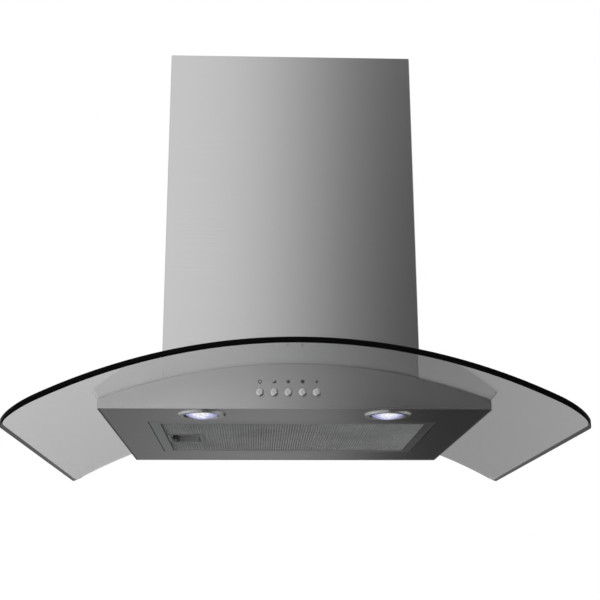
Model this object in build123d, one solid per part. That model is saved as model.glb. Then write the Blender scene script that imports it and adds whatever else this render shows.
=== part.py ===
"""Wall-mounted chimney hood with an arched glass canopy, in millimetres.

X runs to the right, Y towards the wall and Z up. Y = 0 is the wall face. While the pieces are
made, Z = 0 is the lower edge of the body. They are saved about the centre of the four wall screws.
"""

from build123d import *
import math
import os

# ---- Canopy glass ----
glass_width = 600.0
glass_depth = 500.0
glass_thickness = 6.0
glass_radius = 595.0  # lower face, arched from left to right
glass_crown = 50.0  # lower face above the lower edge of the body, at the middle
glass_front_corner = 40.0
glass_rear_corner = 10.0
glass_arris = 0.7
air_opening_side_margin = 22.0  # glass left under the fan box, at its sides
air_opening_end_margin = 24.0  # and at its front and back
air_opening_corner = 15.0

# ---- Body under the glass ----
body_width = 426.0
body_depth = 404.0
body_sheet = 1.0
body_bend = 2.5
panel_reveal = 0.5  # between the panels' upper edges and the glass
pan_rise = 0.8  # underside plate above the lower edge of the front panel
pan_flange = 4.5
seam = 0.3  # between neighbouring sheets
gasket_thickness = 1.5
gasket_width = 9.0
touch = 0.05  # between curved pieces that lie on each other
past = 1.0  # how far a cutter runs past the faces it cuts

# ---- Grease filter ----
filter_width = 332.0
filter_depth = 240.0
filter_thickness = 8.0
filter_centre_y = -195.0
filter_border = 12.0
filter_back_border = 8.0
filter_wall = 1.2
filter_gap = 1.0
opening_flange = 8.0
mesh_sheet = 0.8
mesh_inset = 2.0
mesh_columns = 21
mesh_rows = 14
mesh_strand = 4.0
core_thickness = 3.2
core_columns = 16
core_rows = 11
core_strand = 6.0
hinge_inset = 6.0  # filter pivots from the right-hand edge
hinge_rise = 3.0  # filter pivots above its lower face
hinge_pin_radius = 1.5
hinge_pin_reach = 4.0
hinge_pin_head = 1.75
hinge_pin_head_height = 0.6
shaft_clearance = 0.05

# ---- Filter latch ----
latch_cup_width = 38.0
latch_cup_depth = 60.0
latch_cup_centre_x = -131.0
latch_cup_centre_y = -190.0
latch_cup_corner = 10.0
latch_cup_wall = 1.0
latch_cup_lip = 3.0
latch_bolt_radius = 1.5
latch_bolt_rise = 4.0  # bolt axis above the filter's lower face
latch_bolt_reach = 5.0  # beyond the filter's edge
latch_collar_radius = 2.6
latch_collar_length = 1.5
latch_travel = 6.0
latch_knob_radius = 3.4
latch_knob_drop = 5.6
latch_knob_x = -144.5
latch_spring_wire = 0.6
latch_spring_turns = 3.5

# ---- Lamps ----
lamp_spacing = 206.0
lamp_centre_y = -368.0
lamp_bezel_radius = 26.5
lamp_bezel_drop = 2.6
lamp_bezel_edge = 0.72  # upright part of its outer edge
lamp_bezel_slope = 1.6  # width of the slope between edge and face
lamp_bezel_dish = 2.4  # width of the slope between face and lens
lamp_barrel_radius = 22.5
lamp_barrel_wall = 1.2
lamp_barrel_height = 13.0
lamp_lens_radius = 17.6
lamp_lens_bulge = 3.0
lamp_lens_setback = 1.56  # its rim behind the bezel's face
lamp_lens_thickness = 1.2
lamp_module_height = 18.0
lamp_module_base = 5.4  # depth of the hollow behind the lens
lamp_module_wall = 3.6
lamp_fins = 5
lamp_clip_width = 8.0
lamp_clip_sheet = 0.6
lamp_clip_reach = 9.0

# ---- Push buttons ----
button_names = ("light", "stop", "low", "medium", "high")
button_pitch = 15.4
button_row_x = -8.2
button_row_z = 18.0
button_radius = 4.3
button_proud = 2.6
button_hole_gap = 0.35
button_edge_round = 1.5
button_travel = 3.0
button_collar_radius = 5.4
button_collar_length = 1.2
button_stem_radius = 2.0
button_stem_length = 15.0
button_spring_wire = 0.5
button_spring_turns = 3.5
button_spring_radius = 3.0
switch_block_width = 88.0
switch_block_height = 22.0
switch_block_depth = 24.0
switch_block_setback = 7.0  # behind the inner face of the front panel
switch_post_width = 6.0
board_thickness = 1.6

# ---- Chimney covers ----
chimney_width = 318.0
chimney_depth = 250.0
chimney_sheet = 0.8
chimney_bend = 1.6
chimney_top = 505.0
chimney_flange = 8.0  # returns at the open back
chimney_glass_gap = 0.4
cover_clearance = 0.5  # between the two covers
upper_cover_length = 400.0
vent_slots = 5
vent_length = 70.0
vent_height = 4.0
vent_pitch = 11.0
vent_top_margin = 45.0
vent_setback = 125.0
side_bracket_top = 100.0
side_bracket_height = 40.0
side_bracket_length = 30.0
side_bracket_sheet = 1.0
cover_screw_radius = 1.6
cover_screw_length = 8.0
cover_screw_drop = 20.0  # below the side bracket's top
ceiling_bracket_height = 25.0
ceiling_bracket_sheet = 1.5
ceiling_bracket_tab = 32.0
ceiling_bracket_joggle = 2.5
ceiling_bracket_margin = 12.0  # below the upper cover's top
ceiling_hole_spacing = 200.0
ceiling_hole_radius = 3.0

# ---- Fan box ----
box_side_gap = 9.0  # between the fan box and the cover's outside
box_front_gap = 10.0
box_top = 300.0
box_sheet = 1.0
clamp_sheet = 1.5
wall_screw_spacing_x = 220.0
wall_screw_spacing_z = 140.0
wall_screw_radius = 4.0
wall_screw_height = 180.0  # centre of the pattern above the lower edge of the body
glass_screw_side_inset = 11.0  # from the fan box's sides
glass_screw_end_inset = 32.0  # from its front and back
glass_screw_radius = 2.5
glass_hole_radius = 4.5
clearance_hole = 0.25
screw_head_height = 2.4
screw_head_radius = 4.4
nut_height = 4.0
nut_across_flats = 8.0
recess_reach = 0.6  # screw recess, as shares of the head's radius and height
recess_width = 0.24
recess_depth = 0.5

# ---- Fan ----
wheel_width = 104.0
wheel_blades = 32
blade_depth = 14.0
blade_thickness = 1.2
blade_sweep = 9.0  # degrees between the blade's inner and outer edge
blade_lead = 0.25  # share of the sweep reached half way along
wheel_disc = 2.0
wheel_rim = 5.0
hub_radius = 11.0
hub_length = 18.0
hub_gap = 2.0  # between hub and motor
scroll_gap = 8.0  # casing to wheel at the tongue
scroll_step = 10.0  # growth of the casing radius in each quarter turn
scroll_wall = 2.5
scroll_width = 128.0
scroll_rear_gap = 12.0  # casing to wall face
scroll_front_gap = 9.0  # casing's rim to the front of the fan box
scroll_floor_gap = 7.0  # casing to the clamp frame under it
scroll_inlet_radius = 62.0
scroll_inlet_lip = 8.0
scroll_neck_rear = 27.5  # rear of the outlet behind the wheel's axis
scroll_rim_width = 8.0
scroll_rim_height = 2.5
motor_radius = 44.0
motor_wall = 2.0
motor_length = 62.0
motor_start_x = 13.0
stator_inner_radius = 25.0
rotor_radius = 24.0
rotor_length = 40.0
shaft_radius = 4.0
shaft_overhang = 8.0
shaft_nut_length = 5.0
shaft_nut_across_flats = 16.5
motor_ring_width = 8.0
motor_ring_wall = 3.0
motor_arms = 3
motor_arm_width = 12.0
motor_arm_thickness = 3.0
motor_arm_reach = 74.0
motor_screw_circle = 69.0

# ---- Air outlet ----
collar_radius = 74.5
collar_wall = 2.5
collar_height = 45.0
collar_flange_radius = 87.0
collar_flange = 2.5
collar_screw_circle = 80.5
collar_screws = 4
small_screw_radius = 1.6
small_screw_length = 6.0
small_head_radius = 2.8
small_head_height = 1.6
flap_ledge_width = 3.0
flap_ledge_height = 1.5
flap_thickness = 1.2
flap_edge_gap = 0.6
flap_lift = 0.3
flap_pin_radius = 1.5
flap_pin_rise = 3.2  # pin axis above the flaps' lower faces
flap_knuckle_radius = 2.8
flap_knuckle_length = 20.0
flap_root = 3.4
flap_lug_length = 6.0
flap_lug_width = 8.0
flap_lug_height = 8.4
flap_lug_gap = 2.0  # between a lug and the flaps cut away beside it
front_knuckles = (-48.0, 12.0)
rear_knuckles = (-12.0, 48.0)

# ---- Electrics in the fan box ----
control_box_length = 100.0
control_box_height = 60.0
control_box_depth = 30.0
control_box_wall = 2.0
control_box_centre_y = -110.0
control_box_centre_z = 130.0
control_lid = 2.0
control_board_setback = 7.5
capacitor_radius = 15.0
capacitor_length = 60.0
capacitor_edge_round = 1.5
capacitor_centre_y = -60.0
capacitor_base_z = 90.0
gland_side_inset = 35.0
gland_rear_inset = 40.0
gland_bore_radius = 3.6
gland_body_radius = 8.0
gland_flange_radius = 11.0
gland_flange = 3.0
gland_height = 14.0
gland_tail = 8.0

# ---- Leads inside the hood ----
loom_radius = 3.0
motor_lead_radius = 2.0
lamp_lead_radius = 1.5
lead_bend = 0.45  # share of the shorter run that a bend may take
lead_end_run = 20.0  # straight length square to the piece that a lead meets
loom_bends = ((-60, -328, 27), (-112, -290, 27), (-112, -218, 28), (-116, -170, 48))
motor_lead_bends = ((-105, -45, 50), (-50, -40, 46), (40, -42, 46), (92, -48, 54), (104, -78, 95),
                    (102, -115, 140))
lamp_lead_bends = ((85, -350, 29), (55, -353, 25))  # right-hand lamp, mirrored for the left

# ---- Values that follow from the driving ones ----
chimney_opening_width = chimney_width - 2 * chimney_flange
box_width = chimney_width - 2 * box_side_gap
box_depth = chimney_depth - box_front_gap
air_opening_width = box_width - 2 * air_opening_side_margin
air_opening_depth = box_depth - 2 * air_opening_end_margin
glass_screw_x = box_width / 2 - glass_screw_side_inset
glass_screw_rows = (-glass_screw_end_inset, -box_depth / 2, glass_screw_end_inset - box_depth)
gland_x = gland_side_inset - box_width / 2
gland_y = -gland_rear_inset
arch_z = glass_crown - glass_radius  # height of the glass arch's axis
glass_top_radius = glass_radius + glass_thickness
cover_top_radius = glass_radius - gasket_thickness
cover_low_radius = cover_top_radius - body_sheet
clamp_low_radius = glass_top_radius + gasket_thickness
clamp_top_radius = clamp_low_radius + clamp_sheet
glass_screw_angle = math.degrees(math.asin(glass_screw_x / glass_radius))
panel_front = -body_depth
panel_back = panel_front + body_sheet
pan_top = pan_rise + body_sheet
filter_bottom = pan_rise
filter_top = filter_bottom + filter_thickness
filter_front = filter_centre_y - filter_depth / 2
filter_rear = filter_centre_y + filter_depth / 2
filter_right = filter_width / 2
opening_width = filter_width + 2 * filter_gap
opening_depth = filter_depth + 2 * filter_gap
hinge_x = filter_right - hinge_inset
hinge_z = filter_bottom + hinge_rise
latch_z = filter_bottom + latch_bolt_rise
cup_left = latch_cup_centre_x - latch_cup_width / 2
lower_mesh_bottom = filter_bottom + filter_wall
lower_mesh_top = lower_mesh_bottom + mesh_sheet
upper_mesh_top = filter_top - filter_wall
upper_mesh_bottom = upper_mesh_top - mesh_sheet
core_bottom = (lower_mesh_top + upper_mesh_bottom - core_thickness) / 2
button_count = len(button_names)
button_places = [button_row_x + (i - (button_count - 1) / 2) * button_pitch for i in range(button_count)]
button_face = panel_front - button_proud
button_collar_front = panel_back + seam
button_collar_back = button_collar_front + button_collar_length
switch_front = panel_back + switch_block_setback
switch_back = switch_front + switch_block_depth
upper_cover_front = -(chimney_depth - chimney_sheet - cover_clearance)
upper_cover_width = chimney_width - 2 * (chimney_sheet + cover_clearance)
upper_cover_rear = -(chimney_sheet + cover_clearance)
upper_cover_bottom = side_bracket_top + seam
upper_cover_top = upper_cover_bottom + upper_cover_length
ceiling_bracket_top = upper_cover_top - ceiling_bracket_margin
box_wall_top = box_top - box_sheet
box_front = -box_depth
scroll_room = box_depth - scroll_rear_gap - scroll_front_gap - scroll_rim_width - 2 * scroll_wall
wheel_radius = (scroll_room - 2 * scroll_gap - 3 * scroll_step) / 2
tongue_radius = wheel_radius + scroll_gap
scroll_centre_y = -(scroll_rear_gap + scroll_wall + tongue_radius)
clamp_crown = glass_crown + glass_thickness + gasket_thickness + clamp_sheet
scroll_centre_z = clamp_crown + scroll_floor_gap + scroll_wall + tongue_radius + scroll_step
neck_front = -(tongue_radius + 3 * scroll_step)  # from the wheel's axis
outlet_y = scroll_centre_y + (neck_front + scroll_neck_rear) / 2
collar_bore = collar_radius - collar_wall
flap_bottom = box_top + collar_flange + flap_ledge_height + flap_lift
flap_pin_z = flap_bottom + flap_pin_rise
flap_radius = collar_bore - flap_edge_gap
lug_inner_x = collar_bore - flap_lug_length


# ---- Shapes that many pieces share ----
def block(x_low, x_high, y_low, y_high, z_low, z_high):
    centre = Pos((x_low + x_high) / 2, (y_low + y_high) / 2, (z_low + z_high) / 2)
    return centre * Box(x_high - x_low, y_high - y_low, z_high - z_low)


def rod_x(radius, x_low, x_high, y, z):
    return Pos((x_low + x_high) / 2, y, z) * Rot(0, 90, 0) * Cylinder(radius, x_high - x_low)


def rod_y(radius, x, y_low, y_high, z):
    return Pos(x, (y_low + y_high) / 2, z) * Rot(90, 0, 0) * Cylinder(radius, y_high - y_low)


def rod_z(radius, x, y, z_low, z_high):
    return Pos(x, y, (z_low + z_high) / 2) * Cylinder(radius, z_high - z_low)


def plan(width, y_front, y_rear):
    """Rectangle seen from above, centred on X = 0."""
    return Pos(0, (y_front + y_rear) / 2) * Rectangle(width, y_rear - y_front)


def round_corners(sketch, y, radius):
    """Rounds the corners that lie at one Y."""
    corners = [v for v in sketch.vertices() if abs(v.Y - y) < seam]
    return fillet(corners, radius)


def prism(sketch, z_low, z_high):
    return Pos(0, 0, z_low) * extrude(sketch, z_high - z_low)


def arch(radius):
    """Everything inside a cylinder about the glass arch's axis."""
    length = 2 * glass_depth
    return Pos(0, -glass_depth / 2, arch_z) * Rot(90, 0, 0) * Cylinder(radius, length)


def arched_sheet(sketch, low_radius, high_radius):
    """The part of an arched sheet that lies over a plan sketch."""
    column = prism(sketch, arch_z, arch_z + high_radius + seam)
    return column & (arch(high_radius) - arch(low_radius))


def radial_rods(radius, low_radius, high_radius):
    """One rod for each glass screw, square to the arch."""
    rods = []
    for y in glass_screw_rows:
        for angle in (-glass_screw_angle, glass_screw_angle):
            place = Pos(0, y, arch_z) * Rot(0, angle, 0)
            rods.append(place * rod_z(radius, 0, 0, low_radius, high_radius))
    return rods


def ring(sketch, width):
    """Border of a sketch, measured inwards."""
    return sketch - offset(sketch, -width, kind=Kind.INTERSECTION)


def strip(points, thickness, side=Side.LEFT):
    """Section of a folded sheet: a line of points given a thickness on one side."""
    return make_face(offset(Polyline(*points), thickness, side=side, kind=Kind.INTERSECTION))


def screw(head_radius, head_height, shank_radius, length):
    """Cross-recessed screw along Z with its seat at the origin and its head on top."""
    body = rod_z(head_radius, 0, 0, 0, head_height) + rod_z(shank_radius, 0, 0, -length, 0)
    reach = head_radius * recess_reach
    half = head_radius * recess_width / 2
    slot = block(-reach, reach, -half, half, head_height * (1 - recess_depth), head_height + past)
    return body - slot - Rot(0, 0, 90) * slot


def coil(radius, wire, height, turns):
    """Spring along Z from the origin, its wire inside that height."""
    path = Helix(pitch=(height - wire) / turns, height=height - wire, radius=radius)
    section = Plane(path @ 0, z_dir=path % 0) * Circle(wire / 2)
    return Pos(0, 0, wire / 2) * sweep(section, path)


def save(name, *solids):
    shape = solids[0] if len(solids) == 1 else Compound(children=list(solids))
    export_step(Pos(0, 0, -wall_screw_height) * shape, f"parts/{name}.step")


# ---- Glass canopy and what clamps it ----
def air_opening(margin=0.0):
    hole = plan(air_opening_width + 2 * margin, -box_depth / 2 - air_opening_depth / 2 - margin,
                -box_depth / 2 + air_opening_depth / 2 + margin)
    return fillet(hole.vertices(), air_opening_corner + margin)


def make_glass():
    outline = plan(glass_width, -glass_depth, 0)
    outline = round_corners(outline, -glass_depth, glass_front_corner)
    outline = round_corners(outline, 0, glass_rear_corner)
    pane = arched_sheet(outline - air_opening(), glass_radius, glass_top_radius)
    for hole in radial_rods(glass_hole_radius, glass_radius - seam, glass_top_radius + seam):
        pane -= hole
    broad_faces = pane.faces().sort_by(SortBy.AREA)[-2:]
    save("glass_canopy", chamfer(broad_faces.edges(), glass_arris))


def drilled(sheet, radius):
    for hole in radial_rods(radius, cover_low_radius - nut_height, clamp_top_radius + nut_height):
        sheet -= hole
    return sheet


def make_glass_clamp():
    shank_hole = glass_screw_radius + clearance_hole
    inner = air_opening(touch)
    seat = plan(box_width, box_front, 0)
    low = cover_top_radius + touch
    high = glass_radius - touch
    rim = arched_sheet(ring(inside_walls(), gasket_width), low, high)
    lower_seat = plan(box_width, box_front, -body_sheet - seam - gasket_width - touch)
    lower = drilled(arched_sheet(lower_seat - inner, low, high), shank_hole)
    upper = drilled(arched_sheet(seat - inner, glass_top_radius + touch, clamp_low_radius - touch), shank_hole)
    save("clamp_frame", drilled(arched_sheet(seat - inner, clamp_low_radius, clamp_top_radius), shank_hole))
    bushes = []
    screws = []
    nuts = []
    for y in glass_screw_rows:
        for angle in (-glass_screw_angle, glass_screw_angle):
            place = Pos(0, y, arch_z) * Rot(0, angle, 0)
            bush = rod_z(glass_hole_radius - clearance_hole, 0, 0, glass_radius, glass_top_radius)
            bushes.append(place * (bush - rod_z(shank_hole, 0, 0, glass_radius - seam, glass_top_radius + seam)))
            length = clamp_top_radius + touch - cover_low_radius + nut_height
            screws.append(place * Pos(0, 0, clamp_top_radius + touch)
                          * screw(screw_head_radius, screw_head_height, glass_screw_radius, length))
            nut = Pos(0, 0, cover_low_radius - touch - nut_height) * extrude(
                RegularPolygon(nut_across_flats / 2, 6, major_radius=False), nut_height)
            thread = rod_z(glass_screw_radius + touch / 2, 0, 0, cover_low_radius - 2 * nut_height, cover_low_radius)
            nuts.append(place * (nut - thread))
    save("glass_seals", rim, lower, upper, *bushes)
    save("glass_fasteners", *screws, *nuts)


# ---- Body ----
def inside_walls():
    """Plan of the sheets that lie between the front wrap and the rear wall."""
    edge = plan(body_width - 2 * (body_sheet + seam), panel_back + seam, -body_sheet - seam)
    return round_corners(edge, panel_back + seam, body_bend - body_sheet - seam)


def make_front_wrap():
    outer = round_corners(plan(body_width, panel_front, 0), panel_front, body_bend)
    inner = round_corners(plan(body_width - 2 * body_sheet, panel_back, past), panel_back, body_bend - body_sheet)
    wrap = prism(outer - inner, 0, glass_crown) & arch(glass_radius - panel_reveal)
    for x in button_places:
        wrap -= rod_y(button_radius + button_hole_gap, x, panel_front - past, panel_back + past, button_row_z)
    save("front_wrap", wrap)


def make_rear_wall():
    half = body_width / 2 - body_sheet
    wall = block(-half, half, -body_sheet, 0, 0, glass_crown)
    save("rear_wall", wall & arch(glass_radius - panel_reveal))


def lamp_places():
    return [(-lamp_spacing / 2, lamp_centre_y), (lamp_spacing / 2, lamp_centre_y)]


def make_bottom_pan():
    edge = inside_walls()
    opening = Pos(0, filter_centre_y) * Rectangle(opening_width, opening_depth)
    pan = prism(edge - opening, pan_rise, pan_top)
    pan += prism(ring(edge, body_sheet), pan_rise, pan_top + pan_flange)
    collar = offset(opening, body_sheet, kind=Kind.INTERSECTION) - opening
    pan += prism(collar, pan_rise, pan_top + opening_flange)
    for x, y in lamp_places():
        pan -= rod_z(lamp_barrel_radius + seam, x, y, 0, pan_top + past)
    pan -= rod_y(hinge_pin_radius + shaft_clearance, hinge_x, filter_front - filter_border,
                 filter_rear + filter_border, hinge_z)
    bolt_hole = latch_bolt_radius + clearance_hole
    pan -= rod_x(bolt_hole, -filter_right - filter_border, -filter_right, latch_cup_centre_y, latch_z)
    save("bottom_pan", pan)


def make_top_cover():
    cover = arched_sheet(inside_walls() - air_opening(), cover_low_radius, cover_top_radius)
    save("top_cover", drilled(cover, glass_screw_radius + clearance_hole))


# ---- Grease filter ----
def filter_plan(inset):
    return Pos(0, filter_centre_y) * Rectangle(filter_width - 2 * inset, filter_depth - 2 * inset)


def cup_plan(growth):
    outline = Pos(latch_cup_centre_x, latch_cup_centre_y) * Rectangle(
        latch_cup_width + 2 * growth, latch_cup_depth + 2 * growth)
    return fillet(outline.vertices(), latch_cup_corner + growth)


def bolt_channel(z_low, z_high):
    """Room for the latch bolt between the recess and the filter's edge."""
    half = latch_collar_radius + seam
    return block(-filter_right, cup_left, latch_cup_centre_y - half, latch_cup_centre_y + half, z_low, z_high)


def net(columns, rows, strand, z_low, z_high):
    """Flat net with diamond gaps, cut clear of the latch."""
    width = filter_width - 2 * mesh_inset
    depth = filter_depth - 2 * mesh_inset
    pitch_x = (width - 2 * filter_border) / columns
    pitch_y = (depth - 2 * filter_border) / rows
    half_x = (pitch_x - strand / 2) / 2
    half_y = (pitch_y - strand / 2) / 2
    gap = Polyline((-half_x, 0), (0, half_y), (half_x, 0), (0, -half_y), close=True)
    gaps = [place * gap for place in GridLocations(pitch_x, pitch_y, columns, rows)]
    sheet = Face(Rectangle(width, depth).wire(), [Wire(g.edges()) for g in gaps])
    layer = prism(Pos(0, filter_centre_y) * sheet, z_low, z_high)
    layer -= prism(cup_plan(seam), z_low, z_high)
    return layer - bolt_channel(z_low, z_high)


def make_filter():
    frame = prism(filter_plan(0) - filter_plan(filter_border), filter_bottom, filter_bottom + filter_wall)
    frame += prism(ring(filter_plan(0), filter_wall), filter_bottom, filter_top)
    frame += prism(filter_plan(0) - filter_plan(filter_back_border), filter_top - filter_wall, filter_top)
    frame -= rod_y(hinge_pin_radius + touch / 2, hinge_x, filter_front - past, filter_rear + past, hinge_z)
    frame -= rod_x(latch_bolt_radius + clearance_hole, -filter_right - past, -filter_right + filter_border,
                   latch_cup_centre_y, latch_z)
    save("filter_frame", frame)
    save("filter_lower_mesh", net(mesh_columns, mesh_rows, mesh_strand, lower_mesh_bottom, lower_mesh_top))
    save("filter_core", net(core_columns, core_rows, core_strand, core_bottom, core_bottom + core_thickness))
    save("filter_upper_mesh", net(mesh_columns, mesh_rows, mesh_strand, upper_mesh_bottom, upper_mesh_top))
    pins = []
    for y, way in ((filter_front, -1), (filter_rear, 1)):
        inner_y = y - way * filter_wall
        pin_ends = sorted((inner_y, y + way * hinge_pin_reach))
        head_ends = sorted((inner_y, inner_y - way * hinge_pin_head_height))
        pins.append(rod_y(hinge_pin_radius, hinge_x, *pin_ends, hinge_z)
                    + rod_y(hinge_pin_head, hinge_x, *head_ends, hinge_z))
    save("filter_hinge_pins", *pins)


def make_latch():
    floor = filter_top - latch_cup_wall
    cup = prism(cup_plan(0) - cup_plan(-latch_cup_wall), filter_bottom + filter_wall - mesh_sheet, filter_top)
    cup += prism(cup_plan(0), floor, filter_top)
    lip_low = lower_mesh_bottom - mesh_sheet
    cup += prism(cup_plan(latch_cup_lip) - cup_plan(-latch_cup_wall), lip_low, lower_mesh_bottom)
    guide = rod_x(latch_bolt_radius + shaft_clearance, cup_left - latch_cup_wall,
                  cup_left + 2 * latch_cup_wall, latch_cup_centre_y, latch_z)
    save("filter_latch_cup", cup - guide)
    tip = -filter_right - latch_bolt_reach
    collar_left = -filter_right + filter_wall + seam
    collar_right = collar_left + latch_collar_length
    bolt = rod_x(latch_bolt_radius, tip, latch_knob_x, latch_cup_centre_y, latch_z)
    bolt += rod_x(latch_collar_radius, collar_left, collar_right, latch_cup_centre_y, latch_z)
    save("filter_latch_bolt", bolt)
    knob_top = latch_z + latch_bolt_radius + seam
    knob = rod_z(latch_knob_radius, latch_knob_x, latch_cup_centre_y, latch_z - latch_knob_drop, knob_top)
    knob = chamfer(knob.edges().sort_by(Axis.Z)[0], seam)
    save("filter_latch_knob", knob - bolt)
    length = cup_left - seam - collar_right
    spring_radius = latch_bolt_radius + latch_spring_wire
    spring = coil(spring_radius, latch_spring_wire, length, latch_spring_turns)
    save("filter_latch_spring", Pos(collar_right, latch_cup_centre_y, latch_z) * Rot(0, 90, 0) * spring)


# ---- Lamps ----
def make_lamp(side, x, y):
    """Saves the ring and the lens, and returns the light module that sits in them."""
    seat = pan_rise
    rim = seat - lamp_bezel_drop
    inner = lamp_barrel_radius - lamp_barrel_wall
    bezel_section = make_face(Polyline(
        (lamp_barrel_radius, seat),
        (lamp_bezel_radius, seat),
        (lamp_bezel_radius, seat - lamp_bezel_edge),
        (lamp_bezel_radius - lamp_bezel_slope, rim),
        (lamp_lens_radius + lamp_bezel_dish, rim),
        (lamp_lens_radius + touch, rim + lamp_lens_setback),
        (lamp_lens_radius + touch, seat),
        (inner, seat),
        (inner, seat + lamp_barrel_height),
        (lamp_barrel_radius, seat + lamp_barrel_height),
        close=True))
    save(f"lamp_bezel_{side}", Pos(x, y, 0) * revolve(Plane.XZ * bezel_section, Axis.Z))
    lens_top = seat + touch + lamp_lens_thickness
    lens_rim = rim + lamp_lens_setback
    lens_low = lens_rim - lamp_lens_bulge
    sphere = (lamp_lens_radius**2 + lamp_lens_bulge**2) / (2 * lamp_lens_bulge)
    half_turn = math.degrees(math.asin(lamp_lens_radius / sphere))
    dome = CenterArc((0, lens_low + sphere), sphere, -90, half_turn)
    outline = Polyline((0, lens_low), (0, lens_top), (inner - seam, lens_top), (inner - seam, seat + touch),
                       (lamp_lens_radius, seat + touch), (lamp_lens_radius, lens_rim))
    lens_section = make_face(outline.edges() + dome.edges())
    save(f"lamp_lens_{side}", Pos(x, y, 0) * revolve(Plane.XZ * lens_section, Axis.Z))
    low = lens_top + touch
    top = low + lamp_module_height
    board = low + lamp_module_base
    outer = inner - seam
    module = rod_z(outer, 0, 0, low, top) - rod_z(outer - lamp_module_wall, 0, 0, low, board)
    pitch = 2 * inner / (lamp_fins + 1)
    for i in range(lamp_fins):
        slot_x = (i - (lamp_fins - 1) / 2) * pitch
        module -= block(slot_x - pitch / 4, slot_x + pitch / 4, -inner, inner, (board + top) / 2, top + past)
    return Pos(x, y, 0) * module


def make_lamp_clips():
    """Leaf clips that hold the lamps on the underside plate, two for each lamp."""
    clips = []
    root = lamp_barrel_radius + touch
    top = pan_rise + lamp_barrel_height
    points = [(root, top), (root, top / 2), (root + lamp_clip_reach, pan_top + seam),
              (root + lamp_clip_reach + lamp_clip_sheet, pan_top + 2 * seam + lamp_clip_sheet)]
    leaf = extrude(Plane.XZ * strip(points, lamp_clip_sheet), lamp_clip_width / 2, both=True)
    for x, y in lamp_places():
        for turn in (0, 180):
            clips.append(Pos(x, y, 0) * Rot(0, 0, turn) * leaf)
    save("lamp_clips", *clips)


# ---- Push buttons ----
def make_buttons():
    springs = []
    for name, x in zip(button_names, button_places):
        cap = rod_y(button_radius, x, button_face, button_collar_front, button_row_z)
        cap = fillet(cap.edges().sort_by(Axis.Y)[0], button_edge_round)
        button = cap + rod_y(button_collar_radius, x, button_collar_front, button_collar_back, button_row_z)
        button += rod_y(button_stem_radius, x, button_collar_back, button_collar_back + button_stem_length,
                        button_row_z)
        save(f"button_{name}", button)
        gap = switch_front - button_collar_back
        spring = coil(button_spring_radius, button_spring_wire, gap - 2 * touch, button_spring_turns)
        springs.append(Pos(x, button_collar_back + touch, button_row_z) * Rot(-90, 0, 0) * spring)
    save("button_springs", *springs)


def make_switch_block():
    left = button_row_x - switch_block_width / 2
    right = button_row_x + switch_block_width / 2
    low = button_row_z - switch_block_height / 2
    high = button_row_z + switch_block_height / 2
    body = block(left, right, switch_front, switch_back, low, high)
    body += block(left, left + switch_post_width, panel_back, switch_front, low, high)
    body += block(right - switch_post_width, right, panel_back, switch_front, low, high)
    bore_end = button_collar_back + button_stem_length + button_travel + seam
    for x in button_places:
        body -= rod_y(button_stem_radius + 2 * shaft_clearance, x, switch_front - past, bore_end, button_row_z)
    save("switch_block", body)
    board = block(left + seam, right - seam, switch_back, switch_back + board_thickness, low, high)
    save("switch_board", board)


# ---- Chimney covers ----
def cover_section(width, y_front, y_rear):
    """Folded cover seen from above: three walls and two return flanges at the open back."""
    outer = round_corners(plan(width, y_front, y_rear), y_front, chimney_bend)
    inner = plan(width - 2 * chimney_sheet, y_front + chimney_sheet, y_rear - chimney_sheet)
    inner = round_corners(inner, y_front + chimney_sheet, chimney_bend - chimney_sheet)
    gap = plan(chimney_opening_width, y_rear - 2 * chimney_sheet, y_rear + past)
    return outer - inner - gap


def make_lower_chimney():
    cover = prism(cover_section(chimney_width, -chimney_depth, 0), 0, chimney_top)
    cover -= arch(glass_top_radius + chimney_glass_gap)
    half = chimney_width / 2
    hole_z = side_bracket_top - cover_screw_drop
    cover -= rod_x(cover_screw_radius + clearance_hole, -half - past, half + past, -box_depth / 2, hole_z)
    save("lower_chimney", cover)


def make_upper_chimney():
    section = cover_section(upper_cover_width, upper_cover_front, upper_cover_rear)
    cover = prism(section, upper_cover_bottom, upper_cover_top)
    half = upper_cover_width / 2
    for i in range(vent_slots):
        z = upper_cover_top - vent_top_margin - i * vent_pitch
        slot = block(-half - past, half + past, -vent_setback - vent_length / 2, -vent_setback + vent_length / 2,
                     z - vent_height / 2, z + vent_height / 2)
        cover -= slot
    tab_screw_y = -ceiling_bracket_tab / 2
    cover -= rod_x(cover_screw_radius + touch, -half - past, half + past, tab_screw_y, ceiling_screw_z())
    save("upper_chimney", cover)


def ceiling_screw_z():
    return ceiling_bracket_top - ceiling_bracket_height / 2


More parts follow.
